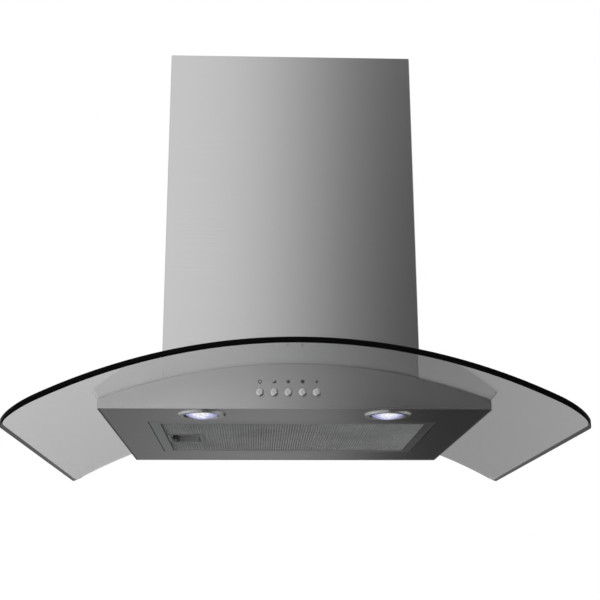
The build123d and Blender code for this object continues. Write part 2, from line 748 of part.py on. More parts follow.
def make_ceiling_bracket():
    half = upper_cover_width / 2 - chimney_sheet
    step = chimney_opening_width / 2 - 3 * ceiling_bracket_joggle
    points = [(-half, -ceiling_bracket_tab), (-half, -ceiling_bracket_joggle), (-step, -ceiling_bracket_joggle),
              (-step + ceiling_bracket_joggle, 0), (step - ceiling_bracket_joggle, 0),
              (step, -ceiling_bracket_joggle), (half, -ceiling_bracket_joggle), (half, -ceiling_bracket_tab)]
    section = strip(points, ceiling_bracket_sheet, Side.RIGHT)
    bracket = prism(section, ceiling_bracket_top - ceiling_bracket_height, ceiling_bracket_top)
    for x in (-ceiling_hole_spacing / 2, ceiling_hole_spacing / 2):
        bracket -= rod_y(ceiling_hole_radius, x, -2 * ceiling_bracket_sheet, past, ceiling_screw_z())
    tab_y = -ceiling_bracket_tab / 2
    bracket -= rod_x(cover_screw_radius + touch, -half - past, half + past, tab_y, ceiling_screw_z())
    save("ceiling_bracket", bracket)
    length = ceiling_bracket_sheet + chimney_sheet
    seat = half - ceiling_bracket_sheet
    part = screw(small_head_radius, small_head_height, cover_screw_radius, length)
    save("ceiling_bracket_screws",
         Pos(seat, tab_y, ceiling_screw_z()) * Rot(0, -90, 0) * part,
         Pos(-seat, tab_y, ceiling_screw_z()) * Rot(0, 90, 0) * part)


def make_side_brackets():
    inner = box_width / 2
    outer = chimney_width / 2 - chimney_sheet
    low = side_bracket_top - side_bracket_height
    y_low = -box_depth / 2 - side_bracket_length / 2
    y_high = y_low + side_bracket_length
    bracket = block(inner, inner + side_bracket_sheet, y_low, y_high, low, side_bracket_top)
    bracket += block(inner, outer, y_low, y_high, side_bracket_top - side_bracket_sheet, side_bracket_top)
    bracket += block(outer - side_bracket_sheet, outer, y_low, y_high, low, side_bracket_top)
    hole_z = side_bracket_top - cover_screw_drop
    bracket -= rod_x(cover_screw_radius + touch, inner + 2 * side_bracket_sheet, outer + past, -box_depth / 2, hole_z)
    save("chimney_side_brackets", bracket, Rot(0, 0, 180) * Pos(0, box_depth, 0) * bracket)
    seat = chimney_width / 2
    part = screw(screw_head_radius, screw_head_height, cover_screw_radius, cover_screw_length)
    save("chimney_screws",
         Pos(seat, -box_depth / 2, hole_z) * Rot(0, 90, 0) * part,
         Pos(-seat, -box_depth / 2, hole_z) * Rot(0, -90, 0) * part)


# ---- Fan box ----
def make_fan_box():
    outer = plan(box_width, box_front, -box_sheet)
    inner = plan(box_width - 2 * box_sheet, box_front + box_sheet, past)
    wrap = prism(outer - inner, 0, box_wall_top) - arch(clamp_top_radius + touch)
    save("fan_box_wrap", wrap)
    half = box_width / 2
    back = block(-half, half, -box_sheet, 0, 0, box_wall_top) - arch(clamp_top_radius + touch)
    for x in (-wall_screw_spacing_x / 2, wall_screw_spacing_x / 2):
        for z in (-wall_screw_spacing_z / 2, wall_screw_spacing_z / 2):
            back -= rod_y(wall_screw_radius, x, -box_sheet - past, past, wall_screw_height + z)
    save("fan_box_back", back)
    top = block(-half, half, box_front, 0, box_wall_top, box_top)
    top -= rod_z(collar_bore + seam, 0, outlet_y, box_wall_top - past, box_top + past)
    top -= rod_z(gland_body_radius + seam, gland_x, gland_y, box_wall_top - past, box_top + past)
    for x, y in scroll_screw_places() + collar_screw_places():
        top -= rod_z(small_screw_radius + touch, x, y, box_wall_top - past, box_top + past)
    save("fan_box_top", top)


def scroll_screw_places():
    x = scroll_width / 2 + scroll_rim_width / 2
    front = scroll_centre_y + neck_front - scroll_wall - scroll_rim_width / 2
    rear = scroll_centre_y + scroll_neck_rear + scroll_wall + scroll_rim_width / 2
    return [(-x, front), (x, front), (-x, rear), (x, rear)]


def collar_screw_places():
    places = []
    for i in range(collar_screws):
        angle = math.radians((i + 0.5) * 360 / collar_screws)
        places.append((collar_screw_circle * math.cos(angle), outlet_y + collar_screw_circle * math.sin(angle)))
    return places


def make_chassis_screws():
    """One kind of screw holds the scroll, the outlet collar and the motor mount."""
    part = screw(small_head_radius, small_head_height, small_screw_radius, small_screw_length)
    screws = [Pos(x, y, box_top) * part for x, y in scroll_screw_places()]
    screws += [Pos(x, y, box_top + collar_flange) * part for x, y in collar_screw_places()]
    seat = scroll_width / 2 + motor_arm_thickness
    screws += [Pos(seat, y, z) * Rot(0, 90, 0) * part for y, z in motor_screw_places()]
    save("chassis_screws", *screws)


# ---- Fan ----
def scroll_section():
    """Casing outline about the wheel's axis: three quarter turns, each wider, then the neck."""
    first = tongue_radius
    second = first + scroll_step
    third = second + scroll_step
    top = box_wall_top - scroll_centre_z
    edges = [
        CenterArc((0, 0), first, 90, -90),
        CenterArc((-scroll_step, 0), second, 0, -90),
        CenterArc((-scroll_step, scroll_step), third, -90, -90),
        Line((neck_front, scroll_step), (neck_front, top)),
        Line((neck_front, top), (scroll_neck_rear, top)),
        Line((scroll_neck_rear, top), (0, first)),
    ]
    return make_face(edges)


def on_fan_axis(sketch, x):
    """Places a sketch square to the fan's axis."""
    return Plane((x, scroll_centre_y, scroll_centre_z), x_dir=(0, 1, 0), z_dir=(1, 0, 0)) * sketch


def make_scroll():
    inner = scroll_section()
    top = box_wall_top - scroll_centre_z
    keep = Pos(0, top - glass_depth / 2) * Rectangle(glass_depth, glass_depth)
    outer = offset(inner, scroll_wall, kind=Kind.ARC) & keep
    half = scroll_width / 2
    y_front = scroll_centre_y + neck_front - scroll_wall - scroll_rim_width
    y_rear = scroll_centre_y + scroll_neck_rear + scroll_wall + scroll_rim_width
    for side, x_low, x_high, wall_low, wall_high in (
            ("left", -half, 0, -half, -half + scroll_wall), ("right", 0, half, half - scroll_wall, half)):
        shell = extrude(on_fan_axis(outer, x_low), x_high - x_low)
        rim_outer = (x_low - scroll_rim_width, 0) if side == "left" else (0, x_high + scroll_rim_width)
        shell += block(*rim_outer, y_front, y_rear, box_wall_top - scroll_rim_height, box_wall_top)
        hollow_low = max(x_low, -half + scroll_wall)
        hollow_high = min(x_high, half - scroll_wall)
        shell -= extrude(on_fan_axis(inner, hollow_low), hollow_high - hollow_low)
        lip_low = wall_low if side == "left" else wall_high - scroll_inlet_lip
        lip_high = lip_low + scroll_inlet_lip
        axis = (scroll_centre_y, scroll_centre_z)
        shell += rod_x(scroll_inlet_radius + scroll_wall, lip_low, lip_high, *axis)
        shell -= rod_x(scroll_inlet_radius, x_low - past, x_high + past, *axis)
        if side == "right":
            for y, z in motor_screw_places():
                shell -= rod_x(small_screw_radius + touch, wall_low - past, wall_high + past, y, z)
        for x, y in scroll_screw_places():
            shell -= rod_z(small_screw_radius + touch / 2, x, y, box_wall_top - 2 * small_screw_length, box_top)
        save(f"scroll_{side}", shell)


def blade():
    """Forward-curved blade section about the wheel's axis."""
    low = wheel_radius - blade_depth
    high = wheel_radius - blade_thickness / 2
    middle = (low + high) / 2

    def point(radius, degrees):
        angle = math.radians(degrees)
        return (radius * math.cos(angle), radius * math.sin(angle))

    thick = math.degrees(blade_thickness / wheel_radius)
    edges = [
        ThreePointArc(point(low, 0), point(middle, -blade_sweep * blade_lead), point(high, -blade_sweep)),
        Line(point(high, -blade_sweep), point(high, thick - blade_sweep)),
        ThreePointArc(point(high, thick - blade_sweep), point(middle, thick - blade_sweep * blade_lead),
                      point(low, thick)),
        Line(point(low, thick), point(low, 0)),
    ]
    return make_face(edges)


def make_fan_wheel():
    axis = (scroll_centre_y, scroll_centre_z)
    half = wheel_width / 2
    wheel = rod_x(wheel_radius, -wheel_disc / 2, wheel_disc / 2, *axis)
    hub_end = motor_start_x - hub_gap
    wheel += rod_x(hub_radius, hub_end - hub_length, hub_end, *axis)
    vanes = []
    for i in range(wheel_blades):
        section = Rot(0, 0, i * 360 / wheel_blades) * blade()
        vanes.append(extrude(on_fan_axis(section, -half), wheel_width))
    wheel += vanes
    for x_low in (-half, half - wheel_disc):
        rim = rod_x(wheel_radius, x_low, x_low + wheel_disc, *axis)
        wheel += rim - rod_x(wheel_radius - wheel_rim, x_low - past, x_low + wheel_disc + past, *axis)
    wheel -= rod_x(shaft_radius + touch / 2, -half - past, half + past, *axis)
    save("fan_wheel", wheel)


def make_motor():
    axis = (scroll_centre_y, scroll_centre_z)
    start = motor_start_x
    end = start + motor_length
    can = rod_x(motor_radius, start, end, *axis)
    can -= rod_x(motor_radius - motor_wall, start + motor_wall, end - motor_wall, *axis)
    can -= rod_x(shaft_radius + shaft_clearance, start - past, end - 2 * motor_wall, *axis)
    bearing = rod_x(2 * shaft_radius, end - 3 * motor_wall, end - motor_wall, *axis)
    can += bearing - rod_x(shaft_radius + shaft_clearance, start, end - motor_wall, *axis)
    save("motor_can", can)
    middle = start + motor_length / 2
    low = middle - rotor_length / 2
    high = middle + rotor_length / 2
    stator = rod_x(motor_radius - motor_wall - touch, low, high, *axis)
    save("motor_stator", stator - rod_x(stator_inner_radius, low - past, high + past, *axis))
    rotor = rod_x(rotor_radius, low, high, *axis)
    save("motor_rotor", rotor - rod_x(shaft_radius + touch / 2, low - past, high + past, *axis))
    hub_end = motor_start_x - hub_gap
    shaft_start = hub_end - hub_length - shaft_overhang
    save("motor_shaft", rod_x(shaft_radius, shaft_start, end - motor_wall - seam, *axis))
    nut = extrude(RegularPolygon(shaft_nut_across_flats / 2, 6, major_radius=False), shaft_nut_length)
    nut = Pos(hub_end - hub_length - shaft_nut_length, *axis) * Rot(0, 90, 0) * nut
    save("wheel_nut", nut - rod_x(shaft_radius + touch / 2, -wheel_width, 0, *axis))


def motor_screw_places():
    places = []
    for i in range(motor_arms):
        angle = math.radians(90 + i * 360 / motor_arms)
        places.append((scroll_centre_y + motor_screw_circle * math.cos(angle),
                       scroll_centre_z + motor_screw_circle * math.sin(angle)))
    return places


def make_motor_mount():
    axis = (scroll_centre_y, scroll_centre_z)
    face = scroll_width / 2
    mount = rod_x(motor_radius + motor_ring_wall, face, face + motor_ring_width, *axis)
    for i in range(motor_arms):
        arm = block(face, face + motor_arm_thickness, -motor_arm_width / 2, motor_arm_width / 2, 0, motor_arm_reach)
        mount += Pos(0, *axis) * Rot(i * 360 / motor_arms, 0, 0) * arm
    mount -= rod_x(motor_radius + touch, face - past, face + motor_ring_width + past, *axis)
    for y, z in motor_screw_places():
        mount -= rod_x(small_screw_radius + touch, face - past, face + motor_arm_thickness + past, y, z)
    save("motor_mount", mount)


# ---- Air outlet ----
def make_outlet_collar():
    seat = box_top
    collar = rod_z(collar_flange_radius, 0, outlet_y, seat, seat + collar_flange)
    collar += rod_z(collar_radius, 0, outlet_y, seat, seat + collar_height)
    ledge_top = seat + collar_flange + flap_ledge_height
    collar -= rod_z(collar_bore, 0, outlet_y, ledge_top, seat + collar_height + past)
    collar -= rod_z(collar_bore - flap_ledge_width, 0, outlet_y, seat - past, ledge_top)
    bore = rod_z(collar_bore + touch, 0, outlet_y, seat, seat + collar_height)
    for x_low, x_high in ((-collar_radius, -lug_inner_x), (lug_inner_x, collar_radius)):
        lug = block(x_low, x_high, outlet_y - flap_lug_width / 2, outlet_y + flap_lug_width / 2,
                    ledge_top - flap_ledge_height, ledge_top + flap_lug_height)
        collar += lug & bore
    collar -= rod_x(flap_pin_radius + touch / 2, -collar_bore, collar_bore, outlet_y, flap_pin_z)
    for x, y in collar_screw_places():
        collar -= rod_z(small_screw_radius + touch, x, y, seat - past, seat + collar_flange + past)
    save("outlet_collar", collar)
    save("flap_pin", rod_x(flap_pin_radius, -collar_bore + seam, collar_bore - seam, outlet_y, flap_pin_z))


def make_flap(name, knuckles, way):
    """Half disc that lies on the ledge and swings up about the pin. way is -1 at the front."""
    disc = rod_z(flap_radius, 0, outlet_y, flap_bottom, flap_bottom + flap_thickness)
    y_ends = sorted((outlet_y + way * flap_root, outlet_y + way * collar_radius))
    flap = disc & block(-collar_radius, collar_radius, *y_ends, 0, chimney_top)
    notch = flap_lug_width / 2 + flap_lug_gap
    lug_side = lug_inner_x - flap_lug_gap / 2
    for x_low, x_high in ((-collar_radius, -lug_side), (lug_side, collar_radius)):
        flap -= block(x_low, x_high, outlet_y - notch, outlet_y + notch, 0, chimney_top)
    for x in knuckles:
        ends = (x - flap_knuckle_length / 2, x + flap_knuckle_length / 2)
        flap += rod_x(flap_knuckle_radius, *ends, outlet_y, flap_pin_z)
        web = sorted((outlet_y, outlet_y + way * (flap_root + flap_thickness)))
        flap += block(*ends, *web, flap_bottom, flap_bottom + flap_thickness)
    flap -= rod_x(flap_pin_radius + shaft_clearance, -collar_radius, collar_radius, outlet_y, flap_pin_z)
    save(name, flap)


# ---- Electrics ----
def make_control_box():
    x_low = -box_width / 2 + box_sheet
    x_high = x_low + control_box_depth
    y_low = control_box_centre_y - control_box_length / 2
    y_high = y_low + control_box_length
    z_low = control_box_centre_z - control_box_height / 2
    z_high = z_low + control_box_height
    wall = control_box_wall
    shell = block(x_low, x_high, y_low, y_high, z_low, z_high)
    shell -= block(x_low + wall, x_high + past, y_low + wall, y_high - wall, z_low + wall, z_high - wall)
    save("control_box", shell)
    save("control_box_lid", block(x_high, x_high + control_lid, y_low, y_high, z_low, z_high))
    board_x = x_low + wall + control_board_setback
    board = block(board_x, board_x + board_thickness, y_low + wall + seam, y_high - wall - seam,
                  z_low + wall + seam, z_high - wall - seam)
    save("control_board", board)


def make_capacitor():
    x = box_width / 2 - box_sheet - capacitor_radius - touch
    top = capacitor_base_z + capacitor_length
    can = rod_z(capacitor_radius, x, capacitor_centre_y, capacitor_base_z, top)
    save("capacitor", fillet(can.edges(), capacitor_edge_round))


def make_cable_gland():
    gland = rod_z(gland_body_radius, gland_x, gland_y, box_wall_top - gland_tail, box_top + gland_height)
    gland += rod_z(gland_flange_radius, gland_x, gland_y, box_top, box_top + gland_flange)
    nut = Pos(gland_x, gland_y, box_wall_top - gland_flange) * extrude(
        RegularPolygon(gland_flange_radius, 6), gland_flange)
    gland += nut
    gland -= rod_z(gland_bore_radius, gland_x, gland_y, 0, chimney_top)
    save("cable_gland", gland)


def lead(points, radius):
    """Round lead along straight runs joined by tangent arcs."""
    corners = [Vector(*point) for point in points]
    radii = []
    for before, corner, after in zip(corners, corners[1:], corners[2:]):
        turn = math.radians((corner - before).get_angle(after - corner))
        shorter = min((corner - before).length, (after - corner).length)
        radii.append(lead_bend * shorter / math.tan(turn / 2))
    path = FilletPolyline(*corners, radius=radii)
    section = Plane(path @ 0, z_dir=path % 0) * Circle(radius)
    return sweep(section, path)


def make_wiring():
    """Loom from the switches to the control box, a lead to the motor and one to each lamp."""
    board_y = switch_back + board_thickness
    box_x = -box_width / 2 + box_sheet + control_box_depth / 2
    box_z = control_box_centre_z - control_box_height / 2
    loom = lead([(button_row_x, board_y, button_row_z), (button_row_x, board_y + lead_end_run, button_row_z),
                 *loom_bends, (box_x, control_box_centre_y, box_z - lead_end_run),
                 (box_x, control_box_centre_y, box_z)], loom_radius)
    motor_end = motor_start_x + motor_length
    motor_y = scroll_centre_y - motor_radius / 2
    box_rear_y = control_box_centre_y + control_box_length / 3
    motor_lead = lead([(box_x, box_rear_y, box_z), (box_x, box_rear_y, box_z - lead_end_run), *motor_lead_bends,
                       (motor_end + lead_end_run, motor_y, scroll_centre_z),
                       (motor_end, motor_y, scroll_centre_z)], motor_lead_radius)
    module_top = pan_rise + touch + lamp_lens_thickness + touch + lamp_module_height
    leads = [loom, motor_lead]
    for way in (-1, 1):
        lamp_x = way * lamp_spacing / 2
        board_x = button_row_x + way * (switch_block_width / 2 - switch_post_width)
        bends = [(way * x, y, z) for x, y, z in lamp_lead_bends]
        start = (lamp_x, lamp_centre_y, module_top)
        above = (lamp_x, lamp_centre_y, module_top + 3 * lamp_lead_radius)
        before = (board_x, board_y + 8 * lamp_lead_radius, button_row_z)
        end = (board_x, board_y, button_row_z)
        leads.append(lead([start, above, *bends, before, end], lamp_lead_radius))
    save("wiring", *leads)


def main():
    os.makedirs("parts", exist_ok=True)
    make_glass()
    make_glass_clamp()
    make_front_wrap()
    make_rear_wall()
    make_bottom_pan()
    make_top_cover()
    make_filter()
    make_latch()
    modules = [make_lamp(side, x, y) for side, (x, y) in zip(("left", "right"), lamp_places())]
    save("lamp_modules", *modules)
    make_lamp_clips()
    make_buttons()
    make_switch_block()
    make_lower_chimney()
    make_upper_chimney()
    make_ceiling_bracket()
    make_side_brackets()
    make_fan_box()
    make_chassis_screws()
    make_scroll()
    make_fan_wheel()
    make_motor()
    make_motor_mount()
    make_outlet_collar()
    make_flap("flap_front", front_knuckles, -1)
    make_flap("flap_rear", rear_knuckles, 1)
    make_control_box()
    make_capacitor()
    make_cable_gland()
    make_wiring()


main()
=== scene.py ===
import bpy
import bmesh
import math
from mathutils import Matrix, Vector


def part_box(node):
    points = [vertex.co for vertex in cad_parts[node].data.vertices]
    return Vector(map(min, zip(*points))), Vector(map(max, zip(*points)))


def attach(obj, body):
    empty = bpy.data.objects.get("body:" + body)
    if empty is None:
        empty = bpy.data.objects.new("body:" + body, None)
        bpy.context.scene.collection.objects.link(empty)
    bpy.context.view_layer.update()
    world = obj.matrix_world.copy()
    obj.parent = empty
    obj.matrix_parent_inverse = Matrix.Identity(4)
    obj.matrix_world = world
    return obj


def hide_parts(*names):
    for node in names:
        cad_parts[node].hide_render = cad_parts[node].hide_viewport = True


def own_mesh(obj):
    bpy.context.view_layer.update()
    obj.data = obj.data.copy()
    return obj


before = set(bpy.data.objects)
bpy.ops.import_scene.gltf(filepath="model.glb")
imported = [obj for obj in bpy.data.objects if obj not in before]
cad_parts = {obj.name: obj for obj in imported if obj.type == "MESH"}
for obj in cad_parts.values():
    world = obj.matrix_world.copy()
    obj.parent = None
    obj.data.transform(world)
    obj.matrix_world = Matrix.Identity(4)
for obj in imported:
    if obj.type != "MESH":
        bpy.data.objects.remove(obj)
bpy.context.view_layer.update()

# Sizes and places on the object are in millimetres, in the row frame.
MM = 0.001
ARCH_Z = -725.0  # axis of the glass arch
GLASS_LOW, GLASS_TOP = 595.0, 601.0  # radii of the glass's two faces
GLASS_HALF, GLASS_FRONT, GLASS_CORNER = 300.0, -500.0, 40.0
FRONT_FACE = -404.0  # of the front panel
BUTTONS = {"light": -39.0, "stop": -23.6, "low": -8.2, "medium": 7.2, "high": 22.6}  # their x
LAMP_X, LAMP_Y = 103.0, -368.0
NET_WINDOW = (-163.0, 163.0, -312.0, -78.0)  # left, right, front and rear
LATCH_CUP = (-150.6, -111.4, -220.6, -159.4, 10.6)  # the same, and a corner radius
BOLT_CHANNEL = (-180.0, -140.0, -193.2, -186.8, 0.1)


# ---- Node helpers ----
class Nodes:
    """Short ways to add nodes to one tree."""

    def __init__(self, tree):
        self.tree = tree
        tree.nodes.clear()

    def add(self, kind):
        return self.tree.nodes.new("ShaderNode" + kind)

    def link(self, a, b):
        self.tree.links.new(a, b)

    def feed(self, node, key, value):
        """Links a socket, or sets a plain value."""
        if isinstance(value, bpy.types.NodeSocket):
            self.link(value, node.inputs[key])
        else:
            node.inputs[key].default_value = value

    def noise(self, vector, scale=1.0, detail=2.0, rough=0.5):
        node = self.add("TexNoise")
        for key, value in (("Vector", vector), ("Scale", scale), ("Detail", detail),
                           ("Roughness", rough)):
            self.feed(node, key, value)
        return node.outputs[0]

    def cells(self, vector, scale, feature="F1", output="Color"):
        node = self.add("TexVoronoi")
        node.feature = feature
        self.feed(node, "Vector", vector)
        self.feed(node, "Scale", scale)
        return node.outputs[output]

    def math(self, kind, *values):
        node = self.add("Math")
        node.operation = kind
        for i, value in enumerate(values):
            self.feed(node, i, value)
        return node.outputs[0]

    def weigh(self, share, a, b):
        """share of a, and the rest of b."""
        return self.math("ADD", self.math("MULTIPLY", a, share),
                         self.math("MULTIPLY", b, 1 - share))

    def distance(self, a, b):
        node = self.add("VectorMath")
        node.operation = "DISTANCE"
        self.feed(node, 0, a)
        self.feed(node, 1, b)
        return node.outputs["Value"]

    def spread(self, value, low, high, to_low, to_high):
        node = self.add("MapRange")
        for key, v in (("Value", value), ("From Min", low), ("From Max", high),
                       ("To Min", to_low), ("To Max", to_high)):
            self.feed(node, key, v)
        return node.outputs[0]

    def ramp(self, value, stops):
        """Each stop is a place from 0 to 1 and a grey or a colour."""
        node = self.add("ValToRGB")
        while len(node.color_ramp.elements) < len(stops):
            node.color_ramp.elements.new(1.0)
        for element, (place, colour) in zip(node.color_ramp.elements, stops):
            rgb = colour if isinstance(colour, tuple) else (colour, colour, colour)
            element.position = place
            element.color = (*rgb, 1.0)
        self.feed(node, "Fac", value)
        return node.outputs["Color"]

    def mix(self, share, a, b, way="MIX"):
        node = self.add("Mix")
        node.data_type = "RGBA"
        node.blend_type = way
        self.feed(node, 0, share)
        for slot, value in ((6, a), (7, b)):
            self.feed(node, slot, (*value, 1.0) if isinstance(value, tuple) else value)
        return node.outputs[2]

    def grey(self, colour):
        node = self.add("RGBToBW")
        self.link(colour, node.inputs[0])
        return node.outputs[0]

    def mix_shaders(self, share, a, b):
        node = self.add("MixShader")
        for slot, value in enumerate((share, a, b)):
            self.link(value, node.inputs[slot])
        return node.outputs[0]

    def background(self, colour=(1.0, 1.0, 1.0, 1.0), strength=1.0):
        node = self.add("Background")
        self.feed(node, "Color", colour)
        self.feed(node, "Strength", strength)
        return node.outputs[0]


class Shader(Nodes):
    """A Principled material."""

    def __init__(self, name, **values):
        self.mat = bpy.data.materials.new(name)
        self.mat.use_nodes = True
        super().__init__(self.mat.node_tree)
        self.out = self.add("OutputMaterial")
        self.bsdf = self.add("BsdfPrincipled")
        self.link(self.bsdf.outputs[0], self.out.inputs["Surface"])
        for key, value in values.items():
            self.bsdf.inputs[key.replace("_", " ")].default_value = value
        self.coords = self.add("TexCoord").outputs["Object"]

    def scaled(self, x, y, z):
        node = self.add("Mapping")
        node.inputs["Scale"].default_value = (x, y, z)
        self.link(self.coords, node.inputs["Vector"])
        return node.outputs[0]

    def wear(self, colour, dust, amount):
        """Slightly different colour in broad soft patches."""
        patch = self.spread(self.noise(self.coords, 14.0, 4.0), 0.42, 0.66, 0.0, amount)
        return self.mix(patch, colour, dust)

    def edge_lift(self, colour, bright, amount):
        """Brighter convex edges, as handling polishes them."""
        pointiness = self.add("NewGeometry").outputs["Pointiness"]
        return self.mix(self.spread(pointiness, 0.52, 0.60, 0.0, amount), colour, bright)

    def colour(self, value):
        self.feed(self.bsdf, "Base Color", value)

    def rough(self, value):
        self.feed(self.bsdf, "Roughness", value)

    def bump(self, height, distance, strength):
        node = self.add("Bump")
        node.inputs["Strength"].default_value = strength
        node.inputs["Distance"].default_value = distance
        self.feed(node, "Height", height)
        self.link(node.outputs[0], self.bsdf.inputs["Normal"])

    def tangent(self, axis):
        node = self.add("Tangent")
        node.direction_type = "RADIAL"
        node.axis = axis
        self.link(node.outputs[0], self.bsdf.inputs["Tangent"])


def tone(tint, factor, lift=0.0):
    """A lighter or darker tint."""
    return tuple(min(c * factor + lift, 1.0) for c in tint)


# ---- Materials ----
def brushed(name, grain, tint, axis, base_rough=0.23, pull=0.95, depth=1.0):
    """Sheet brushed from left to right. grain is the noise scale along X, Y and Z."""
    s = Shader(name, Metallic=1.0, Anisotropic=pull, Anisotropic_Rotation=0.25)
    s.tangent(axis)
    fine = s.noise(s.scaled(*grain), 1.0, 3.0, 0.65)
    long = s.noise(s.scaled(*[g * 0.30 for g in grain]), 1.0, 1.0, 0.5)
    broad = s.noise(s.coords, 5.0, 2.0)
    streak = s.weigh(0.72, fine, long)
    colour = s.ramp(streak, [(0.36, tone(tint, 1 - 0.03 * depth)),
                             (0.64, tone(tint, 1 + 0.025 * depth))])
    s.colour(s.mix(s.spread(broad, 0.35, 0.7, 0.0, 0.25), colour, tint))
    s.rough(s.spread(s.weigh(0.7, streak, broad), 0.3, 0.7,
                     base_rough - 0.01 * depth, base_rough + 0.015 * depth))
    s.bump(streak, 0.00002, 0.06 * depth)
    return s.mat


def galvanised_sheet(name, tint):
    s = Shader(name, Metallic=1.0)
    spangle = s.grey(s.cells(s.coords, 85.0))
    fine = s.noise(s.coords, 900.0, 3.0, 0.7)
    colour = s.ramp(spangle, [(0.1, tone(tint, 0.90)), (0.9, tone(tint, 1.06))])
    colour = s.wear(colour, tone(tint, 0.8), 0.5)
    s.colour(s.edge_lift(colour, (0.78, 0.79, 0.80), 0.5))
    s.rough(s.spread(s.weigh(0.6, spangle, fine), 0.2, 0.8, 0.36, 0.56))
    s.bump(fine, 0.00004, 0.3)
    return s.mat


def plain_metal(name, tint, rough, grain=(500, 500, 500), depth=0.00003):
    s = Shader(name, Metallic=1.0)
    fine = s.noise(s.scaled(*grain), 1.0, 3.0, 0.6)
    colour = s.ramp(fine, [(0.3, tone(tint, 0.88)), (0.7, tone(tint, 1.08))])
    colour = s.wear(colour, tone(tint, 0.82), 0.4)
    s.colour(s.edge_lift(colour, tone(tint, 1.2), 0.6))
    s.rough(s.spread(fine, 0.3, 0.7, rough - 0.05, rough + 0.08))
    s.bump(fine, depth, 0.3)
    return s.mat


def plastic(name, tint, rough, texture=1400.0, depth=0.00004):
    s = Shader(name, IOR=1.46)
    fine = s.noise(s.coords, texture, 2.0, 0.6)
    colour = s.ramp(fine, [(0.3, tone(tint, 0.92)), (0.7, tone(tint, 1.06))])
    colour = s.wear(colour, tone(tint, 0.85, 0.01), 0.35)
    s.colour(s.edge_lift(colour, tone(tint, 1.25, 0.02), 0.5))
    s.rough(s.spread(fine, 0.3, 0.7, rough - 0.06, rough + 0.08))
    s.bump(fine, depth, 0.4)
    return s.mat


def glass_material():
    s = Shader("canopy_glass_clear", IOR=1.5, Transmission_Weight=1.0, Roughness=0.0)
    haze = s.noise(s.coords, 9.0, 3.0)
    s.colour(s.ramp(haze, [(0.35, (0.975, 0.980, 0.980)), (0.65, (0.985, 0.990, 0.988))]))
    s.bump(s.noise(s.coords, 3.0, 1.0), 0.0004, 0.06)
    return s.mat


def glass_edge_shade_material():
    # Near-black glossy skin over the glass edge: painted shade standing in for the edge's dark
    # look.
    s = Shader("canopy_glass_edge_painted_shade", IOR=1.5, Specular_IOR_Level=0.02)
    mottle = s.noise(s.scaled(60, 60, 900), 1.0, 3.0, 0.6)
    s.colour(s.ramp(mottle, [(0.3, (0.001, 0.001, 0.001)), (0.75, (0.004, 0.0045, 0.0045))]))
    s.rough(s.spread(mottle, 0.3, 0.7, 0.10, 0.24))
    return s.mat


def lens_material(side, x):
    """Lit frosted lens: bright before its middle, cooler towards the rim, with facets."""
    spot_ahead, rim_radius, facet_scale = 14.0, 30.0, 420.0
    s = Shader(f"lamp_lens_lit_{side}", IOR=1.45, Roughness=0.25, Emission_Strength=1.0)
    spot = (x * MM, (LAMP_Y - spot_ahead) * MM, 0)
    ring = s.spread(s.distance(s.scaled(1, 1, 0), spot), 0.0, rim_radius * MM, 0.0, 1.0)
    facets = s.cells(s.coords, facet_scale, "DISTANCE_TO_EDGE", "Distance")
    facet_tone = s.grey(s.cells(s.coords, facet_scale))
    glow = s.ramp(ring, [(0.0, (1.0, 1.0, 1.0)), (0.22, (0.92, 0.92, 0.98)),
                         (0.38, (0.58, 0.58, 0.84)), (0.55, (0.36, 0.36, 0.70)),
                         (0.97, (0.18, 0.18, 0.40))])
    web = s.math("MULTIPLY", s.spread(facets, 0.0, 0.12, 0.72, 1.0),
                 s.spread(facet_tone, 0.2, 0.8, 0.72, 1.05))
    s.feed(s.bsdf, "Emission Color", s.mix(1.0, glow, web, "MULTIPLY"))
    s.colour(s.ramp(ring, [(0.0, (0.14, 0.14, 0.15)), (1.0, (0.08, 0.08, 0.12))]))
    s.bump(facets, 0.0002, 0.4)
    return s.mat


def mesh_material(name, tint, rough):
    s = Shader(name, Metallic=1.0)
    fine = s.noise(s.scaled(300, 700, 700), 1.0, 3.0)
    colour = s.ramp(fine, [(0.3, tone(tint, 0.82)), (0.7, tone(tint, 1.1))])
    s.colour(s.wear(colour, tone(tint, 0.7), 0.5))
    s.rough(s.spread(fine, 0.3, 0.7, rough - 0.05, rough + 0.1))
    s.bump(fine, 0.00004, 0.4)
    return s.mat


def board_material():
    """Green lacquer with raised lighter tracks."""
    s = Shader("circuit_board_lacquer", IOR=1.5, Coat_Weight=0.4, Coat_Roughness=0.15)
    track = s.math("LESS_THAN", s.cells(s.coords, 240.0, "DISTANCE_TO_EDGE", "Distance"), 0.05)
    s.colour(s.mix(track, (0.02, 0.13, 0.05), (0.05, 0.26, 0.11)))
    s.rough(s.spread(s.noise(s.coords, 600.0), 0.3, 0.7, 0.35, 0.5))
    s.bump(track, 0.00004, 0.3)
    return s.mat


def stack_material():
    """Stacked iron sheets of the motor, seen from the edge."""
    s = Shader("motor_iron_stack", Metallic=1.0)
    wave = s.add("TexWave")
    wave.bands_direction = "X"
    for key, value in (("Vector", s.coords), ("Scale", 320.0), ("Distortion", 0.4)):
        s.feed(wave, key, value)
    sheets = wave.outputs["Fac"]
    s.colour(s.ramp(sheets, [(0.2, (0.14, 0.14, 0.15)), (0.8, (0.34, 0.34, 0.35))]))
    s.rough(s.spread(s.noise(s.coords, 500.0), 0.3, 0.7, 0.45, 0.65))
    s.bump(sheets, 0.00008, 0.6)
    return s.mat


